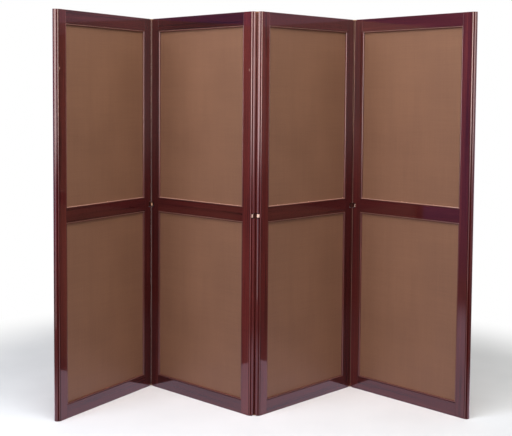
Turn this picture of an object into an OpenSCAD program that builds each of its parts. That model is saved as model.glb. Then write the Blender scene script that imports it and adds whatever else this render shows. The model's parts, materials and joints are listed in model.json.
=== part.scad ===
// Four-panel folding screen: mahogany frames, cloth-covered infills, brass pivot links.
// Stands on z = 0 with its front towards -Y. Lengths are in millimetres.

/* [Screen] */
// height of the screen
screen_h = 1830; // [1500:10:2000]
// width of one panel over both noses
panel_w = 670; // [450:5:800]
// thickness of the frames, and so the diameter of the stile noses
frame_t = 32; // [26:1:40]
// room left between two panels that lie against each other
fold_gap = 0.4; // [0.3:0.1:2]

/* [How it stands] */
// angle of the first panel to the line of the screen
panel_1_turn = 55; // [20:1:70]
// angle of the second panel
panel_2_turn = 43; // [20:1:70]
// angle of the third panel
panel_3_turn = 43; // [20:1:70]
// angle of the fourth panel
panel_4_turn = 46; // [20:1:70]

/* [Frame] */
// full width of a stile with its nose
stile_w = 59; // [52:1:80]
// height of the top rail
top_rail_h = 60; // [50:1:100]
// height of the middle rail
mid_rail_h = 63; // [56:1:110]
// how far its middle is above half the height of the screen
mid_rail_rise = 3; // [0:0.5:6]
// height of the bottom rail
bottom_rail_h = 62; // [50:1:120]
// thickness of the tenons
tenon_t = 10; // [6:1:12]
// length of the tenons
tenon_l = 26; // [15:1:28]
// wood left above and below a tenon
tenon_shoulder = 10; // [6:1:14]

/* [Edge moulding] */
// angle from the middle of the reed to its edge
reed_angle = 44; // [38:1:50]
// angle from the middle of the reed to the middle of each bead
bead_angle = 73; // [68:1:78]
// radius of the beads
bead_r = 4.2; // [3:0.1:4.5]
// depth of the quirks between the reed and the beads
quirk_depth = 3; // [1.5:0.1:3.5]

/* [Infills] */
// thickness of the board inside the cloth
board_t = 11; // [6:1:14]
// thickness of the cloth with its lining
cloth_t = 1; // [0.5:0.1:2]

/* [Slips] */
// width of the slips round each infill
slip_w = 7; // [5:0.5:12]
// how far the slips stay below the face of the frame
slip_drop = 1.5; // [0.5:0.1:3]

/* [Middle hinge] */
// radius of the link barrels
barrel_r = 6; // [5:0.5:7]
// height of the link barrels
barrel_h = 18; // [14:1:24]
// radius of the hinge pins
pin_r = 2.5; // [1.5:0.1:3]
// running room of a link on its pin
pin_play = 0.05; // [0.02:0.01:0.1]
// thickness of the web between the barrels
web_t = 4; // [3:0.5:5]
// thickness of the bracket's ears and back
ear_t = 3; // [2:0.5:4]
// room between a barrel and the ears
ear_play = 0.3; // [0.2:0.1:0.6]
// room between the ears and the tall part of the web
web_room = 0.6; // [0.4:0.1:1]
// room behind a barrel for the screw heads
screw_room = 4; // [3.5:0.5:6]

/* [End links] */
// thickness of the end links
end_link_t = 4; // [3:0.5:6]
// radius of their eyes
end_eye_r = 9; // [7:0.5:11]
// width of the plate between the eyes
end_web_w = 10; // [6:1:13]
// room round an end link in its recess
end_play = 0.4; // [0.3:0.1:1]
// room above and below an end link
end_lift = 0.2; // [0.1:0.05:0.5]

/* [Hinge screws] */
// radius of the screw shanks
screw_r = 2; // [1.5:0.1:2.5]
// length under the head
screw_l = 22; // [15:1:26]
// radius of the heads
screw_head_r = 4; // [3:0.1:4.2]
// height of the heads
screw_head_h = 2.2; // [1.5:0.1:2.8]
// room round a head that turns in an end link
head_play = 0.4; // [0.3:0.1:0.8]

/* [Hidden] */
nose_r = frame_t / 2;
span = panel_w - frame_t;
pivot_gap = frame_t + fold_gap;
inner = stile_w - nose_r;
open_w = span - 2 * inner;
mid_z = screen_h / 2;
mid_low = mid_z + mid_rail_rise - mid_rail_h / 2;
mid_high = mid_z + mid_rail_rise + mid_rail_h / 2;
top_low = screen_h - top_rail_h;
upper_h = top_low - mid_high;
lower_h = mid_low - bottom_rail_h;
infill_t = board_t + 2 * cloth_t;
slip_d = nose_r - slip_drop - infill_t / 2;
hinge_h = barrel_h + 2 * ear_play + 2 * ear_t;
bracket_back = barrel_r + screw_room + ear_t;
web_h = hinge_h - 2 * ear_play;
web_reach = pivot_gap / 2 - barrel_r - web_room;
bead_keep = nose_r * sin(reed_angle) + 0.5;
end_sink = end_link_t + 2 * end_lift;
screw_gap = (barrel_h / 2 + screw_head_r) / 2 - 1.7;
eps = 0.01;
$fn = 48;

head_1 = panel_1_turn;
head_2 = -panel_2_turn;
head_3 = panel_3_turn;
head_4 = -panel_4_turn;
link_1 = (head_1 + head_2) / 2;
link_2 = (head_2 + head_3) / 2;
link_3 = (head_3 + head_4) / 2;

function way(a) = [cos(a), sin(a)];

b2 = -pivot_gap / 2 * way(link_2);
a3 = pivot_gap / 2 * way(link_2);
a2 = b2 - span * way(head_2);
b1 = a2 - pivot_gap * way(link_1);
a1 = b1 - span * way(head_1);
b3 = a3 + span * way(head_3);
a4 = b3 + pivot_gap * way(link_3);
b4 = a4 + span * way(head_4);
left_x = a1[0] - nose_r;
right_x = b4[0] + nose_r;
near_y = min(a1[1], b2[1], a3[1], b4[1]) - nose_r;
far_y = max(b1[1], a2[1], b3[1], a4[1]) + nose_r;
middle = [(left_x + right_x) / 2, (near_y + far_y) / 2];

wood = [0.36, 0.12, 0.09];
cloth = [0.5, 0.38, 0.3];
board = [0.72, 0.6, 0.42];
brass = [0.78, 0.62, 0.3];

// Puts a panel with its left nose on a point, turned to its heading.
// In a panel, x runs from the left nose to the right nose and the front is -y.
module stand_at(point, heading) {
  translate([point[0] - middle[0], point[1] - middle[1], 0])
    rotate([0, 0, heading])
      children();
}

module block(low, high) {
  translate(low)
    cube([high[0] - low[0], high[1] - low[1], high[2] - low[2]]);
}

// The tenon slots of one stile. A stile is drawn with its nose at x = 0 pointing to -x.
module tenon_slots(room = 0) {
  for (z = [
    [tenon_shoulder, bottom_rail_h - tenon_shoulder],
    [mid_low + tenon_shoulder / 2, mid_z - hinge_h / 2],
    [mid_z + hinge_h / 2, mid_high - tenon_shoulder / 2],
    [top_low + tenon_shoulder, screen_h - tenon_shoulder]
  ])
    block([inner - tenon_l, -tenon_t / 2, z[0]], [inner + room, tenon_t / 2, z[1]]);
}

// The room for the bracket at mid height. It is open on the side the fold closes to,
// and it leaves the bead on the other side.
module bracket_slot(side) {
  low = side < 0 ? -nose_r - 1 : -bead_keep;
  high = side < 0 ? bead_keep : nose_r + 1;
  block([-nose_r - 1, low, mid_z - hinge_h / 2], [bracket_back, high, mid_z + hinge_h / 2]);
}

// What an end link sweeps as the fold goes from flat to closed.
module end_recess(side) {
  reach = nose_r + 6;
  cylinder(r = end_eye_r + end_play, h = end_sink + 1);
  rotate([0, 0, side < 0 ? 180 : 90])
    rotate_extrude(angle = 90)
      square([reach, end_sink + 1]);
  block([-reach, -end_web_w / 2 - end_play, 0], [0, end_web_w / 2 + end_play, end_sink + 1]);
  block([-end_web_w / 2 - end_play, side < 0 ? -reach : 0, 0],
        [end_web_w / 2 + end_play, side < 0 ? 0 : reach, end_sink + 1]);
}

// The nose of a stile in section: a reed, and a quirked bead at each face.
module nose_section() {
  far = 3 * nose_r;
  intersection() {
    circle(r = nose_r);
    polygon([[0, 0], [-far, far * tan(reed_angle)], [-far, -far * tan(reed_angle)]]);
  }
  circle(r = nose_r - quirk_depth);
  for (s = [-1, 1])
    translate((nose_r - bead_r) * [-cos(bead_angle), s * sin(bead_angle)])
      circle(r = bead_r);
}

// A stile with its nose to the left. hinged is 0 for an outer stile; otherwise it is the side,
// -1 front or 1 back, that its fold closes to.
module stile(hinged) {
  color(wood)
    difference() {
      union() {
        block([0, -nose_r, 0], [inner, nose_r, screen_h]);
        linear_extrude(height = screen_h)
          nose_section();
      }
      tenon_slots(1);
      if (hinged != 0) {
        bracket_slot(hinged);
        translate([0, 0, screen_h - end_sink])
          end_recess(hinged);
        translate([0, 0, -1])
          end_recess(hinged);
        hinge_screws_at();
      }
    }
}

// One cheese-headed brass screw, head up, with the under side of the head on z = 0.
module screw() {
  translate([0, 0, -screw_l])
    cylinder(r = screw_r, h = screw_l + eps);
  cylinder(r = screw_head_r, h = screw_head_h);
}

// The four screws of one hinged stile: two in the bracket and one in each end.
module hinge_screws_at() {
  for (z = [-screw_gap, screw_gap])
    translate([bracket_back - ear_t, 0, mid_z + z])
      rotate([0, -90, 0])
        screw();
  translate([0, 0, screen_h - end_lift - screw_head_h])
    screw();
  translate([0, 0, end_lift + screw_head_h])
    rotate([180, 0, 0])
      screw();
}

// The bracket let into the nose: a back plate and two ears, bored for the pin and the screws.
module bracket() {
  color(brass)
    difference() {
      union() {
        block([bracket_back - ear_t, -barrel_r - 3, mid_z - hinge_h / 2],
              [bracket_back, barrel_r + 3, mid_z + hinge_h / 2]);
        for (z = [mid_z - hinge_h / 2, mid_z + hinge_h / 2 - ear_t]) {
          translate([0, 0, z])
            cylinder(r = barrel_r, h = ear_t);
          block([0, -barrel_r, z], [bracket_back - ear_t, barrel_r, z + ear_t]);
        }
      }
      translate([0, 0, mid_z - hinge_h / 2 - 1])
        cylinder(r = pin_r, h = hinge_h + 2);
      for (z = [-screw_gap, screw_gap])
        translate([bracket_back - ear_t - 1, 0, mid_z + z])
          rotate([0, 90, 0])
            cylinder(r = screw_r, h = ear_t + 2);
    }
}

module pin() {
  color(brass)
    translate([0, 0, mid_z - hinge_h / 2])
      cylinder(r = pin_r, h = hinge_h);
}

module rail(low, high, tenons) {
  color(wood) {
    block([inner, -nose_r, low], [span - inner, nose_r, high]);
    for (z = tenons) {
      block([inner - tenon_l, -tenon_t / 2, z[0]], [inner + eps, tenon_t / 2, z[1]]);
      block([span - inner - eps, -tenon_t / 2, z[0]], [span - inner + tenon_l, tenon_t / 2, z[1]]);
    }
  }
}

module top_rail() {
  rail(top_low, screen_h, [[top_low + tenon_shoulder, screen_h - tenon_shoulder]]);
}

module mid_rail() {
  rail(mid_low, mid_high, [
    [mid_low + tenon_shoulder / 2, mid_z - hinge_h / 2],
    [mid_z + hinge_h / 2, mid_high - tenon_shoulder / 2]
  ]);
}

module bottom_rail() {
  rail(0, bottom_rail_h, [[tenon_shoulder, bottom_rail_h - tenon_shoulder]]);
}

module boards() {
  color(board)
    for (z = [[bottom_rail_h, lower_h], [mid_high, upper_h]])
      block([inner + cloth_t, -board_t / 2, z[0]],
            [span - inner - cloth_t, board_t / 2, z[0] + z[1]]);
}

// Cloth drawn round both faces and both upright edges of a board.
module sleeve(low, h) {
  color(cloth)
    difference() {
      block([inner, -infill_t / 2, low], [span - inner, infill_t / 2, low + h]);
      block([inner + cloth_t, -board_t / 2, low - 1], [span - inner - cloth_t, board_t / 2, low + h + 1]);
    }
}

// A slip of a given length along x: square at the back, round at the front, mitred at both ends.
module slip(l) {
  difference() {
    union() {
      block([0, -slip_d + slip_w / 2, 0], [l, 0, slip_w]);
      translate([0, -slip_d + slip_w / 2, slip_w / 2])
        rotate([0, 90, 0])
          cylinder(r = slip_w / 2, h = l, $fn = 24);
    }
    rotate([0, -45, 0])
      translate([-slip_w, -slip_d - 1, 0])
        cube([4 * slip_w, slip_d + 2, 3 * slip_w]);
    translate([l, 0, 0])
      rotate([0, 45, 0])
        translate([-3 * slip_w, -slip_d - 1, 0])
          cube([4 * slip_w, slip_d + 2, 3 * slip_w]);
  }
}

// The four slips of one opening on the front.
module slip_ring(low, h) {
  translate([inner, -infill_t / 2, low]) {
    slip(open_w);
    translate([open_w, 0, h])
      rotate([0, 180, 0])
        slip(open_w);
    translate([0, 0, h])
      rotate([0, 90, 0])
        slip(h);
    translate([open_w, 0, 0])
      rotate([0, -90, 0])
        slip(h);
  }
}

module front_slips() {
  color(wood) {
    slip_ring(bottom_rail_h, lower_h);
    slip_ring(mid_high, upper_h);
  }
}

module back_slips() {
  translate([span, 0, 0])
    rotate([0, 0, 180])
      front_slips();
}

// Turns what is drawn for a left stile into the same for a right stile.
module to_right() {
  translate([span, 0, 0])
    mirror([1, 0, 0])
      children();
}

// Two barrels and the web between them. The web is tallest half way, where it shuts the slots
// of both stiles, so that no light shows through the fold.
module mid_link() {
  color(brass)
    difference() {
      union() {
        for (x = [-pivot_gap / 2, pivot_gap / 2])
          translate([x, 0, mid_z - barrel_h / 2])
            cylinder(r = barrel_r, h = barrel_h);
        block([-pivot_gap / 2, -web_t / 2, mid_z - barrel_h / 2],
              [pivot_gap / 2, web_t / 2, mid_z + barrel_h / 2]);
        block([-web_reach, -web_t / 2, mid_z - web_h / 2], [web_reach, web_t / 2, mid_z + web_h / 2]);
      }
      for (x = [-pivot_gap / 2, pivot_gap / 2])
        translate([x, 0, mid_z - barrel_h / 2 - 1])
          cylinder(r = pin_r + pin_play, h = barrel_h + 2);
    }
}

// One end link with its outer face on z = 0, bored and counterbored for the two screws.
module end_link() {
  difference() {
    union() {
      for (x = [-pivot_gap / 2, pivot_gap / 2])
        translate([x, 0, -end_link_t])
          cylinder(r = end_eye_r, h = end_link_t);
      block([-pivot_gap / 2, -end_web_w / 2, -end_link_t], [pivot_gap / 2, end_web_w / 2, 0]);
    }
    for (x = [-pivot_gap / 2, pivot_gap / 2]) {
      translate([x, 0, -end_link_t - 1])
        cylinder(r = screw_r + pin_play, h = end_link_t + 2);
      translate([x, 0, -screw_head_h - end_lift / 2])
        cylinder(r = screw_head_r + head_play, h = screw_head_h + 1);
    }
  }
}

module end_links() {
  color(brass) {
    translate([0, 0, screen_h - end_lift])
      end_link();
    translate([0, 0, end_lift])
      rotate([180, 0, 0])
        end_link();
  }
}

// The bits of one panel's hinges. left and right are 1 where that stile meets a neighbour.
module brackets(left, right) {
  if (left)
    bracket();
  if (right)
    to_right()
      bracket();
}

module pins(left, right) {
  if (left)
    pin();
  if (right)
    to_right()
      pin();
}

module hinge_screws(left, right) {
  color(brass) {
    if (left)
      hinge_screws_at();
    if (right)
      to_right()
        hinge_screws_at();
  }
}

module at_fold(p, q, heading) {
  stand_at((p + q) / 2, heading)
    children();
}

// The first fold and the third close front to front, the second back to back.
stand_at(a1, head_1) stile(0);  // p1_left_stile
stand_at(a1, head_1) to_right() stile(-1);  // p1_right_stile
stand_at(a1, head_1) top_rail();  // p1_top_rail
stand_at(a1, head_1) mid_rail();  // p1_mid_rail
stand_at(a1, head_1) bottom_rail();  // p1_bottom_rail
stand_at(a1, head_1) boards();  // p1_boards
stand_at(a1, head_1) sleeve(mid_high, upper_h);  // p1_upper_cloth
stand_at(a1, head_1) sleeve(bottom_rail_h, lower_h);  // p1_lower_cloth
stand_at(a1, head_1) front_slips();  // p1_front_slips
stand_at(a1, head_1) back_slips();  // p1_back_slips
stand_at(a1, head_1) brackets(false, true);  // p1_hinge_brackets
stand_at(a1, head_1) pins(false, true);  // p1_hinge_pins
stand_at(a1, head_1) hinge_screws(false, true);  // p1_hinge_screws
stand_at(a2, head_2) stile(-1);  // p2_left_stile
stand_at(a2, head_2) to_right() stile(1);  // p2_right_stile
stand_at(a2, head_2) top_rail();  // p2_top_rail
stand_at(a2, head_2) mid_rail();  // p2_mid_rail
stand_at(a2, head_2) bottom_rail();  // p2_bottom_rail
stand_at(a2, head_2) boards();  // p2_boards
stand_at(a2, head_2) sleeve(mid_high, upper_h);  // p2_upper_cloth
stand_at(a2, head_2) sleeve(bottom_rail_h, lower_h);  // p2_lower_cloth
stand_at(a2, head_2) front_slips();  // p2_front_slips
stand_at(a2, head_2) back_slips();  // p2_back_slips
stand_at(a2, head_2) brackets(true, true);  // p2_hinge_brackets
stand_at(a2, head_2) pins(true, true);  // p2_hinge_pins
stand_at(a2, head_2) hinge_screws(true, true);  // p2_hinge_screws
stand_at(a3, head_3) stile(1);  // p3_left_stile
stand_at(a3, head_3) to_right() stile(-1);  // p3_right_stile
stand_at(a3, head_3) top_rail();  // p3_top_rail
stand_at(a3, head_3) mid_rail();  // p3_mid_rail
stand_at(a3, head_3) bottom_rail();  // p3_bottom_rail
stand_at(a3, head_3) boards();  // p3_boards
stand_at(a3, head_3) sleeve(mid_high, upper_h);  // p3_upper_cloth
stand_at(a3, head_3) sleeve(bottom_rail_h, lower_h);  // p3_lower_cloth
stand_at(a3, head_3) front_slips();  // p3_front_slips
stand_at(a3, head_3) back_slips();  // p3_back_slips
stand_at(a3, head_3) brackets(true, true);  // p3_hinge_brackets
stand_at(a3, head_3) pins(true, true);  // p3_hinge_pins
stand_at(a3, head_3) hinge_screws(true, true);  // p3_hinge_screws
stand_at(a4, head_4) stile(-1);  // p4_left_stile
stand_at(a4, head_4) to_right() stile(0);  // p4_right_stile
stand_at(a4, head_4) top_rail();  // p4_top_rail
stand_at(a4, head_4) mid_rail();  // p4_mid_rail
stand_at(a4, head_4) bottom_rail();  // p4_bottom_rail
stand_at(a4, head_4) boards();  // p4_boards
stand_at(a4, head_4) sleeve(mid_high, upper_h);  // p4_upper_cloth
stand_at(a4, head_4) sleeve(bottom_rail_h, lower_h);  // p4_lower_cloth
stand_at(a4, head_4) front_slips();  // p4_front_slips
stand_at(a4, head_4) back_slips();  // p4_back_slips
stand_at(a4, head_4) brackets(true, false);  // p4_hinge_brackets
stand_at(a4, head_4) pins(true, false);  // p4_hinge_pins
stand_at(a4, head_4) hinge_screws(true, false);  // p4_hinge_screws
at_fold(b1, a2, link_1) mid_link();  // mid_link_12
at_fold(b1, a2, link_1) end_links();  // end_links_12
at_fold(b2, a3, link_2) mid_link();  // mid_link_23
at_fold(b2, a3, link_2) end_links();  // end_links_23
at_fold(b3, a4, link_3) mid_link();  // mid_link_34
at_fold(b3, a4, link_3) end_links();  // end_links_34
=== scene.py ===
import json
import math

import bmesh
import bpy
from mathutils import Matrix, Vector, noise


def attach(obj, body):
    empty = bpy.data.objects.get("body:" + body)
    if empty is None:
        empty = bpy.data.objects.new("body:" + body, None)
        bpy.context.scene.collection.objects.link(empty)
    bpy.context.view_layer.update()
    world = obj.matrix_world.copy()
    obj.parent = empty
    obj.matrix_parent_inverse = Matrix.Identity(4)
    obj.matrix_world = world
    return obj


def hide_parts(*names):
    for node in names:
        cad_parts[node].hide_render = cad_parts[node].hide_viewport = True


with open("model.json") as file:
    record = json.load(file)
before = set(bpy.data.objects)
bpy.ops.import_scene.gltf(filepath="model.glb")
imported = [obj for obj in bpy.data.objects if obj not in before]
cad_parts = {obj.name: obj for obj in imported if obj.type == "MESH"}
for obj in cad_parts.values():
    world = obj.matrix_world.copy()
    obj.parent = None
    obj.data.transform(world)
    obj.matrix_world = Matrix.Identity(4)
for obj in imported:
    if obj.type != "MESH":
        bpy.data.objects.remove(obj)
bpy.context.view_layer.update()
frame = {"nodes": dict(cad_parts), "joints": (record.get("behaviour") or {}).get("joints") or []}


# Stiles
# Two uprights to a panel, each one length of mahogany. The outer edge is run to a reed with a
# quirked bead at both faces. French polished. The ends and the edges are cut for the links.

height = 1.830
panel_width = 0.670
frame_thick = 0.032
stile_width = 0.059
nose_radius = frame_thick / 2
stile_inner = stile_width - nose_radius
panel_span = panel_width - frame_thick
fold_gap = 0.0004

# A reed stands into the gap of its fold by this share of it, and almost touches the next one.
reed_share = 0.48
reed_angle = math.radians(44)
reed_radius = nose_radius + reed_share * fold_gap
reed_easing = 0.00015
reed_steps = 30
bead_angle = math.radians(73)
bead_radius = 0.0042
bead_steps = 16
quirk_depth = 0.003
quirk_floor = nose_radius - quirk_depth
quirk_steps = 3
arris = 0.0006
arris_steps = 3

# Each end is eased over this length, down to this share of the full section.
end_easing = 0.0008
end_girth = 0.982

# How each panel stands to the line of the screen, in degrees, and the face towards which each
# stile folds: -1 its front, 1 its back, 0 where it meets no other.
panel_turns = {1: 55, 2: -43, 3: 43, 4: -46}
fold_side = {
    (1, "left"): 0, (1, "right"): -1,
    (2, "left"): -1, (2, "right"): 1,
    (3, "left"): 1, (3, "right"): -1,
    (4, "left"): -1, (4, "right"): 0,
}

# The cuts for the links, with their running room. One at mid height takes a bracket, and leaves
# the bead of the other face standing. In each end one takes an end link's eye and its web,
# wherever it swings.
bracket_height = 0.0246
bracket_depth = 0.013
bead_kept = nose_radius * math.sin(reed_angle) + 0.0005
link_sink = 0.0044
link_eye = 0.0094
link_web = 0.0108
link_sweep = 0.022
eye_sides = 48
cutter_past_nose = 0.030
cutter_past_end = 0.010

pivots = {joint["name"]: Vector(joint["pos_m"]) for joint in frame["joints"]}
turn_1 = math.radians(panel_turns[1])
left_nose = {
    1: pivots["fold_12_outer"] - panel_span * Vector((math.cos(turn_1), math.sin(turn_1), 0)),
    2: pivots["fold_12"],
    3: pivots["fold_23_outer"],
    4: pivots["fold_34_outer"],
}
for nose in left_nose.values():
    nose.z = 0

# A panel is drawn flat: x runs from its left nose to its right nose, -y is its front.
place = {
    panel: Matrix.Translation(left_nose[panel]) @ Matrix.Rotation(math.radians(turn), 4, "Z")
    for panel, turn in panel_turns.items()
}


class Shade:
    """A socket of a finish. Sums on it are written out and become its Math nodes."""

    def __init__(self, socket):
        self.socket = socket

    def node(self, kind, settings=None, sockets=None, out=0):
        node = self.socket.id_data.nodes.new(kind)
        for name, value in (settings or {}).items():
            setattr(node, name, value)
        self.feed(node, sockets or {})
        return Shade(node.outputs[out])

    def feed(self, node, sockets):
        for name, value in sockets.items():
            if isinstance(value, Shade):
                self.socket.id_data.links.new(value.socket, node.inputs[name])
            else:
                node.inputs[name].default_value = value

    def math(self, operation, *values):
        return self.node("ShaderNodeMath", {"operation": operation}, dict(enumerate(values)))

    def __add__(self, other):
        return self.math("ADD", self, other)

    def __sub__(self, other):
        return self.math("SUBTRACT", self, other)

    def __rsub__(self, other):
        return self.math("SUBTRACT", other, self)

    def __mul__(self, other):
        return self.math("MULTIPLY", self, other)

    def __truediv__(self, other):
        return self.math("DIVIDE", self, other)

    __radd__ = __add__
    __rmul__ = __mul__

    def size(self):
        return self.math("ABSOLUTE", self)

    def wave(self):
        return self.math("SINE", self)

    def distance(self, other):
        """How far the point (this, other) is from nought."""
        return self.math("SQRT", self * self + other * other)

    def between(self, low, high, to_low=0.0, to_high=1.0):
        """This value taken smoothly from low..high to to_low..to_high."""
        return self.node(
            "ShaderNodeMapRange",
            {"interpolation_type": "SMOOTHSTEP"},
            {"Value": self, "From Min": low, "From Max": high, "To Min": to_low, "To Max": to_high},
        )

    def band(self, start, full, still_full, end):
        """1 from full to still_full, and faded to 0 at start and at end."""
        return self.between(start, full) * self.between(end, still_full)

    def stretched(self, scale, shift=(0, 0, 0)):
        """This vector scaled along its axes, and moved."""
        return self.node(
            "ShaderNodeVectorMath",
            {"operation": "MULTIPLY_ADD"},
            {0: self, 1: scale, 2: shift},
        )

    def cloud(self, detail=2.0, roughness=0.5, distortion=0.0):
        return self.node(
            "ShaderNodeTexNoise",
            {},
            {"Vector": self, "Scale": 1.0, "Detail": detail, "Roughness": roughness,
             "Distortion": distortion},
        )

    def parts(self):
        split = self.node("ShaderNodeSeparateXYZ", {}, {"Vector": self}).socket.node
        return [Shade(socket) for socket in split.outputs]

    def mix(self, first, second):
        """The first colour where this is 0, the second where it is 1."""
        colours = [value if isinstance(value, Shade) else (*value, 1) for value in (first, second)]

        # Of the node's sockets, 0 is the factor, and inputs 6 and 7 and output 2 are for colours.
        return self.node(
            "ShaderNodeMix", {"data_type": "RGBA"}, {0: self, 6: colours[0], 7: colours[1]}, out=2
        )

    def bump(self, depth, strength):
        return self.node(
            "ShaderNodeBump", {}, {"Strength": strength, "Distance": depth, "Height": self}
        )


def new_finish(name, source="Object", panel=None):
    """An empty finish: its material, its shader and the coordinates that its pattern follows."""
    material = bpy.data.materials.new(name)
    material.use_nodes = True
    tree = material.node_tree
    tree.nodes.clear()
    shader = tree.nodes.new("ShaderNodeBsdfPrincipled")
    tree.links.new(shader.outputs[0], tree.nodes.new("ShaderNodeOutputMaterial").inputs[0])
    at = Shade(tree.nodes.new("ShaderNodeTexCoord").outputs[source])
    if panel:
        turned = (0, 0, math.radians(panel_turns[panel]))
        at = at.node(
            "ShaderNodeMapping",
            {"vector_type": "TEXTURE"},
            {"Vector": at, "Location": left_nose[panel], "Rotation": turned},
        )
    return material, shader, at


def toned(colour, tone):
    """The colour made darker or lighter by a tone."""
    return tuple(part * tone for part in colour)


wood_dark = (0.021, 0.0042, 0.0040)
wood_mid = (0.064, 0.0108, 0.0094)
wood_light = (0.130, 0.0255, 0.0198)
wood_pore = (0.008, 0.0018, 0.0016)
# The pale colour serves wear and painted highlights, the dark one dirt and painted shade.
wood_worn_and_lit = (0.360, 0.2100, 0.1600)
wood_dirt_and_shade = (0.045, 0.0035, 0.0025)

# Cells to a metre in each pattern of the grain: across it both ways, and along it.
ribbon_scale = (38, 38, 0.7)
streak_scale = (210, 210, 2.6)
patch_scale = (6, 6, 2.2)
pore_scale = (1500, 1500, 42)


def polished(shader, grain, tone=1.0, worn_and_lit=None, dirt_and_shade=None):
    """Fills a finish with French-polished mahogany. The grain runs along z of the vector."""
    ribbon = grain.stretched(ribbon_scale).cloud(3, 0.55, 0.4)
    streak = grain.stretched(streak_scale).cloud(4, 0.6, 0.2)
    patch = grain.stretched(patch_scale).cloud(2, 0.5)
    pore = grain.stretched(pore_scale).cloud(1, 0.5).between(0.60, 0.70)
    figure = ribbon * 0.55 + streak * 0.35 + patch * 0.25 - 0.08
    colour = figure.between(0.30, 0.50).mix(toned(wood_dark, tone), toned(wood_mid, tone))
    colour = figure.between(0.50, 0.74).mix(colour, toned(wood_light, tone))
    colour = (pore * 0.55).mix(colour, wood_pore)
    polish = patch.between(0.3, 0.7, 0.92, 1.0)
    # The first mix is of wear and painted highlights.
    if worn_and_lit is not None:
        colour = worn_and_lit.mix(colour, wood_worn_and_lit)
    # The second mix is of dirt and painted shade, and it also takes away the polish there.
    if dirt_and_shade is not None:
        colour = dirt_and_shade.mix(colour, wood_dirt_and_shade)
        polish = polish * dirt_and_shade.between(0, 1, 1, 0)
    relief = streak * 0.25 - pore
    relief.feed(shader, {
        "Base Color": colour,
        "Roughness": streak.between(0.3, 0.7, 0.45, 0.60),
        "Normal": relief.bump(0.0002, 0.10),
        "Specular IOR Level": 0.03,
        "Coat Weight": polish,
        "Coat Roughness": 0.06,
        "Coat IOR": 1.5,
    })


# Where the moulding gets painted shade and painted highlights: round the nose from its tip, in
# radians, out from the axis of the nose, in from it, or off the middle of the thickness. Each fades
# in over its first two values, and those with four fade out over the last two. The quirks and the
# groove get painted shade, the reed and the bead crowns painted highlights; the foot gets dirt and
# the top end and a few marks are rubbed.
quirk_round = (0.71, 0.74, 1.05, 1.09)
quirk_out = (0.0122, 0.0127)
groove_in = (-0.0026, -0.0019, 0.0005, 0.0010)
groove_off = (0.0120, 0.0128, 0.0155, 0.01585)
crown_round = (1.16, 1.22, 1.42, 1.50)
crown_out = (0.0147, 0.0150)
reed_lit_round = (0.70, 0.60)
reed_lit_heights = (1.1, 1.8)
crown_lit_heights = (1.15, 1.45)
nose_only = (0.0, -0.001)
foot_dirt_rise = 0.020
top_rubbed_drop = 0.002
mark_half_width = 0.0030
mark_half_height = 0.0075


def stile_finish(panel, hand, tone, marks, bead_lit):
    """Mahogany with its grain up the stile, painted shade in the quirks, painted highlights on the
    reed and bead crowns, dirt at the foot and rubbed places.
    """
    material, shader, at = new_finish(f"mahogany_{hand}_stile_{panel}", panel=panel)
    x, y, z = at.parts()
    inward = x if hand == "left" else panel_span - x
    off_middle = y.size()
    round_nose = off_middle.math("ARCTAN2", off_middle, inward * -1.0)
    from_axis = inward.distance(y)
    on_nose = inward.between(*nose_only)
    # The quirk and the groove beside the flat get painted shade, with no polish there to reflect.
    in_quirk = round_nose.band(*quirk_round) * from_axis.between(*quirk_out)
    in_groove = inward.band(*groove_in) * off_middle.band(*groove_off)
    splashes = at.stretched((90, 90, 40)).cloud(3).between(0.4, 0.6, 0.2, 0.8)
    foot = z.between(foot_dirt_rise, 0.0) * splashes
    worn_and_lit = z.between(height - top_rubbed_drop, height) * 0.3
    # Painted highlight on the reed, growing towards the top.
    reed_highlight = z.between(*reed_lit_heights) * round_nose.between(*reed_lit_round) * on_nose
    worn_and_lit = worn_and_lit + reed_highlight * at.stretched((200, 200, 8)).cloud(3).between(0.35, 0.65, 0.05, 0.25)
    # Painted highlight on the crowns of the beads, stronger higher up.
    crown = round_nose.band(*crown_round) * from_axis.between(*crown_out) * on_nose
    worn_and_lit = worn_and_lit + crown * z.between(*crown_lit_heights, *bead_lit)
    for mark_in, mark_z in marks:
        off_x = (inward - mark_in) / mark_half_width
        off_z = (z - mark_z) / mark_half_height
        worn_and_lit = worn_and_lit + (off_x * off_x + off_z * off_z).between(0.3, 1.0, 0.75, 0.0)
    grain = at.stretched((1, 1, 1), (0.37 * panel, 0.9 if hand == "left" else 0.2, 1.3 * panel))
    polished(shader, grain, tone, worn_and_lit, in_quirk + in_groove + foot * 0.5)
    return material


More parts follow.
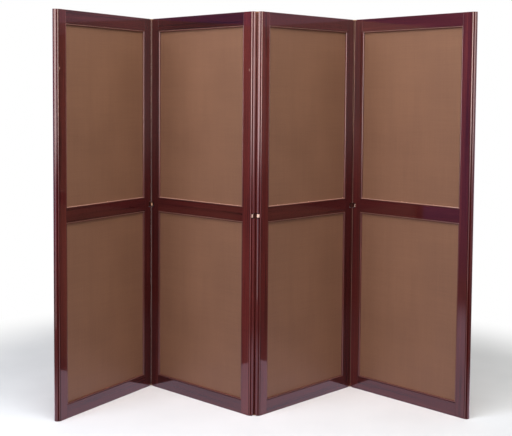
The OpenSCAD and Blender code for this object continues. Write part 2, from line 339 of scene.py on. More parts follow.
def stile_outline():
    """The section of a stile round its nose at x = 0, in order. Its nose points along -x."""
    points = []

    def arc(middle, radius, start, end, steps):
        for step in range(steps + 1):
            angle = start + (end - start) * step / steps
            points.append(middle + Vector((-math.cos(angle), math.sin(angle))) * radius)

    # Angles are measured from the tip of the nose towards +y.
    origin = Vector((0, 0))
    bead_out = nose_radius - bead_radius
    meet = math.acos((bead_out**2 + quirk_floor**2 - bead_radius**2) / (2 * bead_out * quirk_floor))
    quirk_end = bead_angle - meet
    quirk_point = Vector((-math.cos(quirk_end), math.sin(quirk_end))) * quirk_floor
    bead_centre = Vector((-math.cos(bead_angle), math.sin(bead_angle))) * bead_out
    inner_rise = math.sqrt(bead_radius**2 - bead_centre.x**2)
    bead_start = math.atan2(inner_rise, bead_centre.x)
    off = quirk_point - bead_centre
    bead_end = math.atan2(off.y, -off.x)
    eased = reed_angle - math.asin(2 * reed_easing / reed_radius)

    points.append(Vector((0, nose_radius)))
    arc(bead_centre, bead_radius, bead_start, bead_end, bead_steps)
    arc(origin, quirk_floor, quirk_end, reed_angle, quirk_steps)
    arc(origin, reed_radius - reed_easing, reed_angle, reed_angle, 1)
    before_reed = list(points)
    arc(origin, reed_radius, eased, -eased, reed_steps)
    points.extend(Vector((point.x, -point.y)) for point in reversed(before_reed))
    corner = nose_radius - arris
    arc(Vector((stile_inner - arris, -corner)), arris, -math.pi / 2, -math.pi, arris_steps)
    arc(Vector((stile_inner - arris, corner)), arris, math.pi, math.pi / 2, arris_steps)
    return points


def add_node(tree, kind, settings=None, sockets=None):
    """A Geometry Nodes node. Sockets take values or links, and it gives its first output."""
    node = tree.nodes.new(kind)
    for name, value in (settings or {}).items():
        setattr(node, name, value)
    for name, value in (sockets or {}).items():
        if isinstance(value, bpy.types.NodeSocket):
            tree.links.new(value, node.inputs[name])
        else:
            node.inputs[name].default_value = value
    return node.outputs[0]


def new_nodes(name, given):
    """An empty Geometry Nodes tree with named inputs: the tree, its inputs, their identifiers."""
    tree = bpy.data.node_groups.new(name, "GeometryNodeTree")
    face = tree.interface
    face.new_socket("Geometry", in_out="INPUT", socket_type="NodeSocketGeometry")
    identifiers = {}
    for label, value in given.items():
        kind = "NodeSocketBool" if isinstance(value, bool) else "NodeSocketFloat"
        socket = face.new_socket(label, in_out="INPUT", socket_type=kind)
        socket.default_value = value
        identifiers[label] = socket.identifier
    socket = face.new_socket("Finish", in_out="INPUT", socket_type="NodeSocketMaterial")
    identifiers["Finish"] = socket.identifier
    face.new_socket("Geometry", in_out="OUTPUT", socket_type="NodeSocketGeometry")
    return tree, tree.nodes.new("NodeGroupInput").outputs, identifiers


def close_nodes(tree, shape, finish):
    """Ends a tree: instances made real, and the finish put on."""
    real = add_node(tree, "GeometryNodeRealizeInstances", None, {"Geometry": shape})
    done = add_node(tree, "GeometryNodeSetMaterial", None, {"Geometry": real, "Material": finish})
    tree.links.new(done, tree.nodes.new("NodeGroupOutput").inputs[0])


def cut_away(tree, body, cuts, operation="DIFFERENCE"):
    """The body with other meshes cut from it, or joined to it."""
    boolean = tree.nodes.new("GeometryNodeMeshBoolean")
    boolean.operation = operation
    boolean.solver = "EXACT"
    union = operation == "UNION"
    if not union:
        tree.links.new(body, boolean.inputs["Mesh 1"])
    for cut in ([body] if union else []) + cuts:
        tree.links.new(cut, boolean.inputs["Mesh 2"])
    return boolean.outputs[0]


def stile_nodes():
    """Geometry Nodes for a stile: the section is run up its height and cut for the hinges."""
    tree, given, identifiers = new_nodes("run_stile", {
        "Height": height, "End easing": end_easing, "Hinged": False, "Fold side": -1.0,
        "Bracket height": bracket_height, "Bracket depth": bracket_depth,
        "Recess depth": link_sink, "Eye radius": link_eye, "Web width": link_web,
        "Sweep": link_sweep,
    })

    def result(operation, *values):
        return add_node(tree, "ShaderNodeMath", {"operation": operation}, dict(enumerate(values)))

    def block(x0, x1, y0, y1, z0, z1):
        """A box from its faces' places, each a number or a socket."""
        lows, highs = (x0, y0, z0), (x1, y1, z1)
        sides, middles = {}, {}
        for axis, low, high in zip("XYZ", lows, highs):
            sides[axis] = result("SUBTRACT", high, low)
            middles[axis] = result("MULTIPLY", result("ADD", low, high), 0.5)
        size = add_node(tree, "ShaderNodeCombineXYZ", None, sides)
        centre = add_node(tree, "ShaderNodeCombineXYZ", None, middles)
        cube = add_node(tree, "GeometryNodeMeshCube", None, {"Size": size})
        return add_node(
            tree, "GeometryNodeTransform", None, {"Geometry": cube, "Translation": centre}
        )

    tall, ease = given["Height"], given["End easing"]
    section = add_node(tree, "GeometryNodeMeshToCurve", None, {"Mesh": given["Geometry"]})

    # The run has four points: both ends, and one just inside each, where the section is full.
    line = add_node(
        tree, "GeometryNodeMeshLine", {"mode": "OFFSET", "count_mode": "TOTAL"}, {"Count": 4}
    )
    index = add_node(tree, "GeometryNodeInputIndex")
    first_full = result("COMPARE", index, 1.0, 0.1)
    last_full = result("COMPARE", index, 2.0, 0.1)
    top = result("COMPARE", index, 3.0, 0.1)
    rise = result("ADD", result("MULTIPLY", first_full, ease), result("MULTIPLY", top, tall))
    rise = result("ADD", rise, result("MULTIPLY", last_full, result("SUBTRACT", tall, ease)))
    spot = add_node(tree, "ShaderNodeCombineXYZ", None, {"Z": rise})
    line = add_node(tree, "GeometryNodeSetPosition", None, {"Geometry": line, "Position": spot})
    line = add_node(tree, "GeometryNodeMeshToCurve", None, {"Mesh": line})
    full = result("ADD", first_full, last_full)
    girth = result("ADD", result("MULTIPLY", full, 1 - end_girth), end_girth)
    body = add_node(
        tree, "GeometryNodeCurveToMesh", None,
        {"Curve": line, "Profile Curve": section, "Scale": girth, "Fill Caps": True},
    )

    side = given["Fold side"]
    half = result("MULTIPLY", given["Bracket height"], 0.5)
    middle = result("MULTIPLY", tall, 0.5)
    past = result("MULTIPLY", side, cutter_past_nose)
    kept = result("MULTIPLY", side, -bead_kept)
    cuts = [block(
        -cutter_past_nose, given["Bracket depth"],
        result("MINIMUM", past, kept), result("MAXIMUM", past, kept),
        result("SUBTRACT", middle, half), result("ADD", middle, half),
    )]
    sweep = result("MULTIPLY", side, given["Sweep"])
    sweep_low, sweep_high = result("MINIMUM", sweep, 0.0), result("MAXIMUM", sweep, 0.0)
    web = result("MULTIPLY", given["Web width"], 0.5)
    less_web = result("MULTIPLY", web, -1.0)
    back = result("MULTIPLY", given["Sweep"], -1.0)
    upper_floor = result("SUBTRACT", tall, given["Recess depth"])
    recesses = (
        (-cutter_past_end, given["Recess depth"]),
        (upper_floor, result("ADD", tall, cutter_past_end)),
    )
    for low, high in recesses:
        cuts.append(block(back, 0.0, sweep_low, sweep_high, low, high))
        cuts.append(block(back, 0.0, less_web, web, low, high))
        cuts.append(block(less_web, web, sweep_low, sweep_high, low, high))
        tube = add_node(tree, "GeometryNodeMeshCylinder", None, {
            "Vertices": eye_sides, "Radius": given["Eye radius"],
            "Depth": result("SUBTRACT", high, low),
        })
        level = result("MULTIPLY", result("ADD", low, high), 0.5)
        centre = add_node(tree, "ShaderNodeCombineXYZ", None, {"Z": level})
        cuts.append(add_node(
            tree, "GeometryNodeTransform", None, {"Geometry": tube, "Translation": centre}
        ))
    cut = cut_away(tree, body, cuts)
    either = add_node(
        tree, "GeometryNodeSwitch", {"input_type": "GEOMETRY"},
        {"Switch": given["Hinged"], "False": body, "True": cut},
    )
    close_nodes(tree, either, given["Finish"])
    return tree, identifiers


def with_nodes(mesh, tree, identifiers, values):
    """The mesh that a tree makes of this one, with the tree's named inputs given."""
    piece = bpy.data.objects.new("in_hand", mesh)
    bpy.context.scene.collection.objects.link(piece)
    modifier = piece.modifiers.new("made", "NODES")
    modifier.node_group = tree
    for label, value in values.items():
        modifier[identifiers[label]] = value
    graph = bpy.context.evaluated_depsgraph_get()
    made = bpy.data.meshes.new_from_object(piece.evaluated_get(graph), depsgraph=graph)
    bpy.data.objects.remove(piece)
    return made


merge_distance = 1e-6


def add_piece(mesh, name, to_place, soften=35):
    """A finished piece: its mesh put in its place, merged, shaded and linked."""
    mesh.transform(to_place)
    work = bmesh.new()
    work.from_mesh(mesh)
    bmesh.ops.remove_doubles(work, verts=work.verts, dist=merge_distance)
    bmesh.ops.recalc_face_normals(work, faces=work.faces)
    work.to_mesh(mesh)
    work.free()
    mesh.shade_smooth()
    mesh.set_sharp_from_angle(angle=math.radians(soften))
    made = bpy.data.objects.new(name, mesh)
    bpy.context.scene.collection.objects.link(made)

    # Wide flat faces keep their own shading beside narrow eased edges.
    even = made.modifiers.new("even", "WEIGHTED_NORMAL")
    even.keep_sharp = True
    graph = bpy.context.evaluated_depsgraph_get()
    made.data = bpy.data.meshes.new_from_object(made.evaluated_get(graph), depsgraph=graph)
    made.modifiers.clear()
    return made


def belongs(piece, panel, node):
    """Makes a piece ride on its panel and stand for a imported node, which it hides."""
    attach(piece, f"panel_{panel}")
    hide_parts(node)


outline = stile_outline()
turn_round = Matrix.Translation((panel_span, 0, 0)) @ Matrix.Scale(-1, 4, (1, 0, 0))
# Each stile's tone paints light and shade on it: those at the ridge of the middle fold much
# lighter, most of those in the valleys darker.
stile_lit_and_shaded_tones = {
    (1, "left"): 1.00, (1, "right"): 0.66, (2, "left"): 0.75, (2, "right"): 1.45,
    (3, "left"): 1.35, (3, "right"): 0.70, (4, "left"): 1.05, (4, "right"): 0.95,
}

# Rubbed places, each as its distance in from the axis of the nose and its height.
rubbed = {(1, "left"): [(0.0033, 1.572)], (2, "right"): [(0.0071, 1.570)]}

# How strong the painted highlight on the crowns of the beads is below and above, strongest on
# the beads at the outer folds.
bead_highlight = (0.08, 0.65)
valley_bead_highlight = (0.40, 0.95)
valley_beads = [(2, "left"), (4, "left")]

stile_tree, stile_inputs = stile_nodes()
for (panel, hand), side in fold_side.items():
    marks = rubbed.get((panel, hand), ())
    bead_lit = valley_bead_highlight if (panel, hand) in valley_beads else bead_highlight
    finish = stile_finish(panel, hand, stile_lit_and_shaded_tones[panel, hand], marks, bead_lit)
    mesh = bpy.data.meshes.new("section")
    count = len(outline)
    mesh.from_pydata(
        [(*point, 0) for point in outline], [(i, (i + 1) % count) for i in range(count)], []
    )
    mesh = with_nodes(mesh, stile_tree, stile_inputs, {
        "Hinged": side != 0, "Fold side": float(side), "Finish": finish,
    })
    turned = place[panel] if hand == "left" else place[panel] @ turn_round
    stile = add_piece(mesh, f"p{panel}_{hand}_stile_run", turned, soften=28)
    belongs(stile, panel, f"p{panel}_{hand}_stile")


# Rails
# Top, middle and bottom rails, planed square with their arrises just taken off, and tenoned
# into the stiles. The same polished mahogany, with the grain running across the panel.

top_rail_high = 0.060
mid_rail_high = 0.063
mid_rail_rise = 0.003
mid_rail_middle = height / 2 + mid_rail_rise
bottom_rail_high = 0.062
rail_tones = {"top": 0.85, "mid": 0.80, "bottom": 0.80}
darker_rails = {(2, "top"): 0.62, (2, "bottom"): 0.75}
rail_easing = 0.0006


def rail_finish(panel, rail, number, tone):
    """Mahogany with its grain along the rail."""
    material, shader, at = new_finish(f"mahogany_{rail}_rail_{panel}", panel=panel)
    x, y, z = at.parts()
    grain = at.node("ShaderNodeCombineXYZ", {}, {"X": z, "Y": y, "Z": x})
    shift = (0.41 * panel, 0.6 * number, 0.77 * panel + number)
    polished(shader, grain.stretched((1, 1, 1), shift), tone)
    return material


def eased_copy(node, width):
    """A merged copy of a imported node's mesh, its sharp arrises rounded."""
    mesh = frame["nodes"][node].data.copy()
    work = bmesh.new()
    work.from_mesh(mesh)
    bmesh.ops.remove_doubles(work, verts=work.verts, dist=merge_distance)
    bmesh.ops.dissolve_limit(work, angle_limit=math.radians(1), verts=work.verts, edges=work.edges)
    sharp = [edge for edge in work.edges if edge.calc_face_angle(0) > math.radians(40)]
    bmesh.ops.bevel(work, geom=sharp, offset=width, offset_type="OFFSET", segments=2,
                    profile=0.5, affect="EDGES", clamp_overlap=True)
    work.to_mesh(mesh)
    work.free()
    mesh.materials.clear()
    return mesh


for panel in panel_turns:
    for number, (rail, tone) in enumerate(rail_tones.items()):
        mesh = eased_copy(f"p{panel}_{rail}_rail", rail_easing)
        tone *= darker_rails.get((panel, rail), 1.0)
        mesh.materials.append(rail_finish(panel, rail, number, tone))
        planed = add_piece(mesh, f"p{panel}_{rail}_rail_planed", Matrix(), soften=50)
        belongs(planed, panel, f"p{panel}_{rail}_rail")


# Cloths
# A plain close-woven brown cloth, matt, drawn round a board and down both its upright edges.
# One sleeve above the middle rail and one below it, the joins hidden behind the slips.

board_thick = 0.011
cloth_thick = 0.001
infill_half = board_thick / 2 + cloth_thick
infills = {
    "upper": (mid_rail_middle + mid_rail_high / 2, height - top_rail_high),
    "lower": (bottom_rail_high, mid_rail_middle - mid_rail_high / 2),
}
infill_left, infill_right = stile_inner, panel_span - stile_inner
cloth_tan = (0.179, 0.091, 0.052)
cloth_shade = (0.134, 0.067, 0.039)
cloth_hollow = (0.070, 0.033, 0.018)
cloth_thread = 0.0011
thread_wander = 6
slub_length, slub_breadth = 5, 260

# The sway of the cloth: how far it gives, the patterns of its broad and narrow waves as cells to
# a metre across and up, and how far in from an edge it is held.
slack = 0.00021
broad_sway = (7, 4)
narrow_sway = (3, 19)
edge_hold = 0.03


def woven():
    """Plain weave that follows the cloth: u runs round the sleeve and v up it, in metres."""
    material, shader, at = new_finish("brown_cloth", source="UV")
    u, v, _ = at.parts()
    wander = at.stretched((9, 9, 1)).cloud(2) * thread_wander
    turns = math.tau / cloth_thread
    weave = (u * turns + wander).wave() * (v * turns - wander).wave()
    slub_up = at.stretched((slub_breadth, slub_length, 1)).cloud(3, 0.6)
    slub_across = at.stretched((slub_length, slub_breadth, 1), (3.1, 1.7, 0)).cloud(3, 0.6)
    bands = at.stretched((14, 1.5, 1), (0.4, 0.9, 0)).cloud(2)
    hanks = at.stretched((1.2, 11, 1), (5.3, 0.1, 0)).cloud(2)
    mottle = at.stretched((6, 6, 1)).cloud(3, 0.5)
    depth = (slub_up + slub_across) * 0.30 + bands * 0.25 + hanks * 0.2 + mottle * 0.25 - 0.15
    colour = depth.between(0.25, 0.75).mix(cloth_shade, cloth_tan)
    colour = weave.between(-1, 1, 0, 0.16).mix(colour, cloth_hollow)
    relief = weave * 0.5 + (slub_up + slub_across) * 0.8
    relief.feed(shader, {
        "Base Color": colour,
        "Roughness": mottle.between(0.3, 0.7, 0.50, 0.58),
        "Normal": relief.bump(0.0003, 0.30),
        "Specular IOR Level": 0.3,
    })
    return material


def sleeve_ring(across=44, corner_steps=5, corner=0.0016):
    """Points round a sleeve in order, each as x, y and the way the cloth faces there."""
    ring = []
    low_x, high_x = infill_left + corner, infill_right - corner
    for step in range(across + 1):
        ring.append((low_x + (high_x - low_x) * step / across, -infill_half, 0, -1))
    near, far = -infill_half + corner, infill_half - corner

    def turn(middle_x, middle_y, start):
        for step in range(1, corner_steps):
            angle = math.radians(start + 90 * step / corner_steps)
            nx, ny = math.cos(angle), math.sin(angle)
            ring.append((middle_x + corner * nx, middle_y + corner * ny, nx, ny))

    turn(high_x, near, -90)
    turn(high_x, far, 0)
    for step in range(across + 1):
        ring.append((high_x - (high_x - low_x) * step / across, infill_half, 0, 1))
    turn(low_x, far, 90)
    turn(low_x, near, 180)
    return ring


def sleeve(name, low, high, seed, up=66):
    """A sleeve of cloth with its true thickness, drawn round a board, and its girth."""
    ring = sleeve_ring()
    count = len(ring)
    lengths = [0.0]
    for first, second in zip(ring, ring[1:] + ring[:1]):
        lengths.append(lengths[-1] + math.hypot(second[0] - first[0], second[1] - first[1]))

    work = bmesh.new()
    outer, inner = [], []
    for row in range(up + 1):
        z = low + (high - low) * row / up
        outer_row, inner_row = [], []
        for x, y, nx, ny in ring:
            from_edge = min(x - infill_left, infill_right - x, z - low, high - z)
            broad = Vector((x * broad_sway[0], z * broad_sway[1], seed + 9 * (y > 0)))
            narrow = Vector((x * narrow_sway[0], z * narrow_sway[1], seed + 31))
            sway = noise.noise(broad) + 0.5 * noise.noise(narrow)
            pull = slack * (sway - 1) * min(1.0, from_edge / edge_hold)

            # Round the edges of the board the cloth is tight.
            if abs(ny) < 0.99:
                pull = 0.0
            outer_row.append(work.verts.new((x + nx * pull, y + ny * pull, z)))
            inner_row.append(work.verts.new((x - nx * cloth_thick, y - ny * cloth_thick, z)))
        outer.append(outer_row)
        inner.append(inner_row)
    uv = work.loops.layers.uv.new("weave")

    def patch(corners, places):
        face = work.faces.new(corners)
        for loop, spot in zip(face.loops, places):
            loop[uv].uv = spot

    for i in range(count):
        j = (i + 1) % count
        u0, u1 = lengths[i], lengths[i + 1]
        for row in range(up):
            z0, z1 = ((high - low) * r / up for r in (row, row + 1))
            patch((outer[row][i], outer[row][j], outer[row + 1][j], outer[row + 1][i]),
                  ((u0, z0), (u1, z0), (u1, z1), (u0, z1)))
            patch((inner[row][j], inner[row][i], inner[row + 1][i], inner[row + 1][j]),
                  ((u1, z0), (u0, z0), (u0, z1), (u1, z1)))
        patch((outer[0][j], outer[0][i], inner[0][i], inner[0][j]),
              ((u1, 0), (u0, 0), (u0, cloth_thick), (u1, cloth_thick)))
        patch((outer[-1][i], outer[-1][j], inner[-1][j], inner[-1][i]),
              ((u0, cloth_thick), (u1, cloth_thick), (u1, 0), (u0, 0)))
    mesh = bpy.data.meshes.new(name)
    work.to_mesh(mesh)
    work.free()
    return mesh, lengths[-1]


brown_cloth = woven()
for panel in panel_turns:
    for number, (half, (low, high)) in enumerate(infills.items()):
        name = f"p{panel}_{half}_fabric"
        mesh, girth = sleeve(name, low, high, 3.7 * panel + 1.9 * number)
        mesh.materials.append(brown_cloth)
        cloth = add_piece(mesh, name, place[panel], soften=50)
        belongs(cloth, panel, f"p{panel}_{half}_cloth")


# Boards
# Plain sawn softwood boards inside the cloths. They only show where a cloth is taken off,
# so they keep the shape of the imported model.

pine_pale = (0.62, 0.44, 0.24)
pine_ring = (0.42, 0.25, 0.11)
for panel in panel_turns:
    material, shader, at = new_finish(f"sawn_pine_{panel}", panel=panel)
    rings = at.stretched((30, 30, 1.4), (panel, 0, 0)).cloud(3, 0.5, 0.8)
    kerf = at.stretched((3, 3, 900)).cloud(1)
    kerf.feed(shader, {
        "Base Color": rings.between(0.40, 0.62).mix(pine_pale, pine_ring),
        "Roughness": kerf.between(0.3, 0.7, 0.7, 0.85),
        "Normal": kerf.bump(0.0004, 0.3),
    })
    board = frame["nodes"][f"p{panel}_boards"]
    board.data.materials.clear()
    board.data.materials.append(material)


# Slips
# Small round-nosed mahogany strips, four to an opening, mitred at the corners. They are glued
# in round the front of each infill and bradded round the back, and hold it in the frame.

slip_width = 0.007
slip_depth = 0.008
slip_round_steps = 12
slip_tone = 1.1
mitre_gap = 0.00008

# The heights over which the painted highlight on the slips' upper faces grows, and its strength
# below and above.
slip_highlight_heights = (0.3, 0.8)
slip_highlight = (0.02, 0.75)


def slip_section():
    """Points of a slip's section as (across from the frame, out from the cloth)."""
    radius = slip_width / 2
    points = [(0.0, 0.0)]
    for step in range(slip_round_steps + 1):
        angle = math.pi - math.pi * step / slip_round_steps
        across = radius + radius * math.cos(angle)
        points.append((across, slip_depth - radius + radius * math.sin(angle)))
    points.append((slip_width, 0.0))
    return points


def add_slip(work, uv, corner, along, inward, outward, length, start):
    """One slip from a corner of the opening, mitred at both ends."""
    section = slip_section()
    girth = [0.0]
    for first, second in zip(section, section[1:]):
        girth.append(girth[-1] + math.hypot(second[0] - first[0], second[1] - first[1]))
    ends = []
    for far in (False, True):
        row = []
        for across, out in section:
            run = length - across - mitre_gap if far else across + mitre_gap
            row.append(work.verts.new(corner + along * run + inward * across + outward * out))
        ends.append(row)
    count = len(section)
    for i in range(count):
        j = (i + 1) % count
        face = work.faces.new((ends[0][i], ends[0][j], ends[1][j], ends[1][i]))
        u0, u1 = girth[i], girth[j] if j else girth[i] + slip_width
        for loop, spot in zip(face.loops, ((u0, 0), (u1, 0), (u1, length), (u0, length))):
            loop[uv].uv = (spot[0] + start, spot[1] + start * 7)
    for end in ends:
        face = work.faces.new(end)
        for loop, (across, out) in zip(face.loops, section):
            loop[uv].uv = (across + start, out)


def slip_finish():
    """Mahogany with its grain along the slip, a little rubbed all over, and a painted highlight
    where it faces up.
    """
    material, shader, at = new_finish("mahogany_slips", source="UV")
    u, v, _ = at.parts()
    upward = at.node("ShaderNodeTexCoord", out="Normal").parts()[2]
    above_floor = at.node("ShaderNodeTexCoord", out="Object").parts()[2]
    # Faces that look up get a painted highlight, stronger higher up, over a little wear all over.
    worn_and_lit = upward.between(0.0, 0.5) * above_floor.between(*slip_highlight_heights, *slip_highlight) + 0.10
    polished(shader, at.node("ShaderNodeCombineXYZ", {}, {"X": u, "Z": v}), slip_tone, worn_and_lit)
    return material


slip_mahogany = slip_finish()
for panel in panel_turns:
    for face_name, outward in (("front", -1), ("back", 1)):
        work = bmesh.new()
        uv = work.loops.layers.uv.new("along_the_grain")
        out = Vector((0, outward, 0))
        right, up = Vector((1, 0, 0)), Vector((0, 0, 1))
        for number, (low, high) in enumerate(infills.values()):
            y = outward * infill_half
            wide, tall = infill_right - infill_left, high - low
            sides = (
                (Vector((infill_left, y, low)), right, up, wide),
                (Vector((infill_left, y, high)), right, -up, wide),
                (Vector((infill_left, y, low)), up, right, tall),
                (Vector((infill_right, y, low)), up, -right, tall),
            )
            for side_number, (corner, along, inward, length) in enumerate(sides):
                start = 0.31 * panel + 0.11 * side_number + 0.57 * number
                add_slip(work, uv, corner, along, inward, out, length, start)
        mesh = bpy.data.meshes.new("slips")
        work.to_mesh(mesh)
        work.free()
        mesh.materials.append(slip_mahogany)
        slips = add_piece(mesh, f"p{panel}_{face_name}_slip_set", place[panel], soften=40)
        belongs(slips, panel, f"p{panel}_{face_name}_slips")


# Brass
# Links, brackets and pins of cast and turned brass. The barrels get painted highlights where
# the folds work, the rest is dull. Their shapes are those of the imported model.

brass_bright = (0.43, 0.355, 0.29)
brass_dull = (0.15, 0.09, 0.045)
brass_black = (0.017, 0.0062, 0.0047)
middle_height = height / 2
barrel_reach = 0.0062
glint_rise = 0.0070
rise_fade = 0.0008
reach_fade_out = 0.0006
reach_fade_in = 0.0002

# How bright each kind of fitting is all over.
shines = {
    "mid_link": 0.02, "end_links": 0.3, "brackets": 0.02, "pins": 0.6, "screws": 0.75, "brads": 0.5,
}


def old_brass(name, shine, glint_centres=()):
    """Brass gone dull, with a painted highlight round each centre as far and as bright as it says.
    """
    material, shader, at = new_finish(name)
    x, y, z = at.parts()
    tarnish = at.stretched((120, 120, 120)).cloud(4, 0.6)
    scratch = at.stretched((500, 500, 60)).cloud(2)
    shine_and_glint = tarnish.between(0.42, 0.68, shine, 0.4 * shine)
    # A painted highlight round each centre, close to mid height.
    for centre, reach, bright in glint_centres:
        off = (x - centre.x).distance(y - centre.y)
        near = off.between(reach + reach_fade_out, reach - reach_fade_in)
        rise = (z - middle_height).size()
        near = near * rise.between(glint_rise + rise_fade, glint_rise)
        near = near * tarnish.between(0.5, 0.8, bright, 0.6 * bright)
        shine_and_glint = shine_and_glint.math("MAXIMUM", shine_and_glint, near)
    colour = shine_and_glint.between(0.0, 0.35).mix(brass_black, brass_dull)
    colour = shine_and_glint.between(0.35, 1.0).mix(colour, brass_bright)
    scratch.feed(shader, {
        "Base Color": colour,
        "Metallic": 1.0,
        "Roughness": shine_and_glint.between(0.0, 1.0, 0.65, 0.48),
        "Normal": scratch.bump(0.0001, 0.15),
    })
    return material


# The middle fold stands forward and both its barrels get painted highlights. An outer fold lies
# back, so only a spot of it gets a painted highlight, and the rest stays dark with tarnish that
# also stands in for shade. Each spot is given by its middle, how far it reaches and how bright it
# is.
barrel_front = Vector((0, -barrel_reach, 0))
glint_spots = {
    "12": [(pivots["fold_12"].lerp(pivots["fold_12_outer"], 0.42), 0.0035, 0.52)],
    "23": [(pivots["fold_23"], barrel_reach, 1.0), (pivots["fold_23_outer"], 0.010, 1.0)],
    "34": [(pivots["fold_34_outer"] + barrel_front, 0.003, 0.75)],
}
for fold, glint_centres in glint_spots.items():
    for kind, spots in (("mid_link", glint_centres), ("end_links", ())):
        link = frame["nodes"][f"{kind}_{fold}"]
        link.data.materials.clear()
        link.data.materials.append(old_brass(f"brass_{kind}_{fold}", shines[kind], spots))
bracket_brass = old_brass("bracket_brass", shines["brackets"])
pin_brass = old_brass("pin_brass", shines["pins"])
for panel in panel_turns:
    for kind, finish in (("brackets", bracket_brass), ("pins", pin_brass)):
        node = frame["nodes"][f"p{panel}_hinge_{kind}"]
        node.data.materials.clear()
        node.data.materials.append(finish)


# Screws and brads
# Cheese-headed brass screws hold the brackets and turn in the end links. Small brads with
# flat heads hold the back slips, so that a worn cloth can be changed.

head_radius = 0.004
head_height = 0.0022
head_sides = 24
crown_share = 0.25
crown_taper = 0.8
shank_sides = 12
shank_radius = 0.002
shank_length = 0.022
slot_width = 0.0009
slot_depth = 0.0011

# How far a screw's head at the end of a stile is below it, how far in from the axis of the nose a
# bracket's two are, and how far above and below mid height.
end_lift = 0.0002
screw_seat = 0.010
screw_spread = 0.0048

brad_radius = 0.0009
brad_height = 0.0004
brad_rim = 0.7
brad_sides = 12
brad_spacing = 0.110
brad_from_corner = 0.045


def screw_nodes():
    """Geometry Nodes that put a slotted screw on each point, turned as the point says."""
    tree, given, identifiers = new_nodes("put_in_screws", {
        "Head radius": head_radius, "Head height": head_height, "Shank radius": shank_radius,
        "Length": shank_length, "Slot width": slot_width, "Slot depth": slot_depth,
    })

    def times(a, b):
        return add_node(tree, "ShaderNodeMath", {"operation": "MULTIPLY"}, {0: a, 1: b})

    def raised(shape, rise):
        spot = add_node(tree, "ShaderNodeCombineXYZ", None, {"Z": rise})
        return add_node(
            tree, "GeometryNodeTransform", None, {"Geometry": shape, "Translation": spot}
        )

    head_side = times(given["Head height"], 1 - crown_share)
    head = add_node(tree, "GeometryNodeMeshCylinder", None, {
        "Vertices": head_sides, "Radius": given["Head radius"], "Depth": head_side,
    })
    crown = add_node(tree, "GeometryNodeMeshCone", None, {
        "Vertices": head_sides, "Radius Bottom": given["Head radius"],
        "Radius Top": times(given["Head radius"], crown_taper),
        "Depth": times(given["Head height"], crown_share),
    })
    shank = add_node(tree, "GeometryNodeMeshCylinder", None, {
        "Vertices": shank_sides, "Radius": given["Shank radius"], "Depth": given["Length"],
    })

    # The block that cuts the slot is wider than the head, and its lower half is the slot's depth.
    slot_size = add_node(tree, "ShaderNodeCombineXYZ", None, {
        "X": times(given["Head radius"], 3.0), "Y": given["Slot width"],
        "Z": times(given["Slot depth"], 2.0),
    })
    slot = add_node(tree, "GeometryNodeMeshCube", None, {"Size": slot_size})
    whole = cut_away(tree, raised(head, times(head_side, 0.5)), [
        raised(crown, head_side), raised(shank, times(given["Length"], -0.5)),
    ], operation="UNION")
    whole = cut_away(tree, whole, [raised(slot, given["Head height"])])
    turn = add_node(
        tree, "GeometryNodeInputNamedAttribute", {"data_type": "FLOAT_VECTOR"}, {"Name": "turn"}
    )
    placed = add_node(tree, "GeometryNodeInstanceOnPoints", None, {
        "Points": given["Geometry"], "Instance": whole, "Rotation": turn,
    })
    close_nodes(tree, placed, given["Finish"])
    return tree, identifiers


def brad_nodes():
    """Geometry Nodes that drive brads along each edge of a mesh, evenly, heads towards +y."""
    tree, given, identifiers = new_nodes("drive_brads", {
        "Spacing": brad_spacing, "Head radius": brad_radius, "Head height": brad_height,
    })
    line = add_node(tree, "GeometryNodeMeshToCurve", None, {"Mesh": given["Geometry"]})
    line = add_node(
        tree, "GeometryNodeResampleCurve", {"mode": "LENGTH"},
        {"Curve": line, "Length": given["Spacing"]},
    )
    rim = add_node(tree, "ShaderNodeMath", {"operation": "MULTIPLY"},
                   {0: given["Head radius"], 1: brad_rim})
    head = add_node(tree, "GeometryNodeMeshCone", None, {
        "Vertices": brad_sides, "Radius Bottom": given["Head radius"], "Radius Top": rim,
        "Depth": given["Head height"],
    })
    placed = add_node(tree, "GeometryNodeInstanceOnPoints", None, {
        "Points": line, "Instance": head, "Rotation": (-math.pi / 2, 0, 0),
    })
    close_nodes(tree, placed, given["Finish"])
    return tree, identifiers


def screw_spots(panel):
    """Where a panel's screws go, each with the way its head looks, its slot at any angle."""
    spots, turns = [], []
    for hand, nose_x, inward in (("left", 0.0, 1), ("right", panel_span, -1)):
        if not fold_side[panel, hand]:
            continue
        lift = end_lift + head_height
        seats = (
            (nose_x + inward * screw_seat, middle_height - screw_spread, (-inward, 0, 0)),
            (nose_x + inward * screw_seat, middle_height + screw_spread, (-inward, 0, 0)),
            (nose_x, height - lift, (0, 0, 1)),
            (nose_x, lift, (0, 0, -1)),
        )
        for number, (x, z, looks) in enumerate(seats):
            spots.append((x, 0, z))
            slot_angle = 0.9 * panel + 1.7 * number + 0.6 * nose_x
            turn = Vector((0, 0, 1)).rotation_difference(Vector(looks)).to_matrix()
            turn = turn @ Matrix.Rotation(slot_angle, 3, "Z")
            turns.append(turn.to_euler())
    return spots, turns


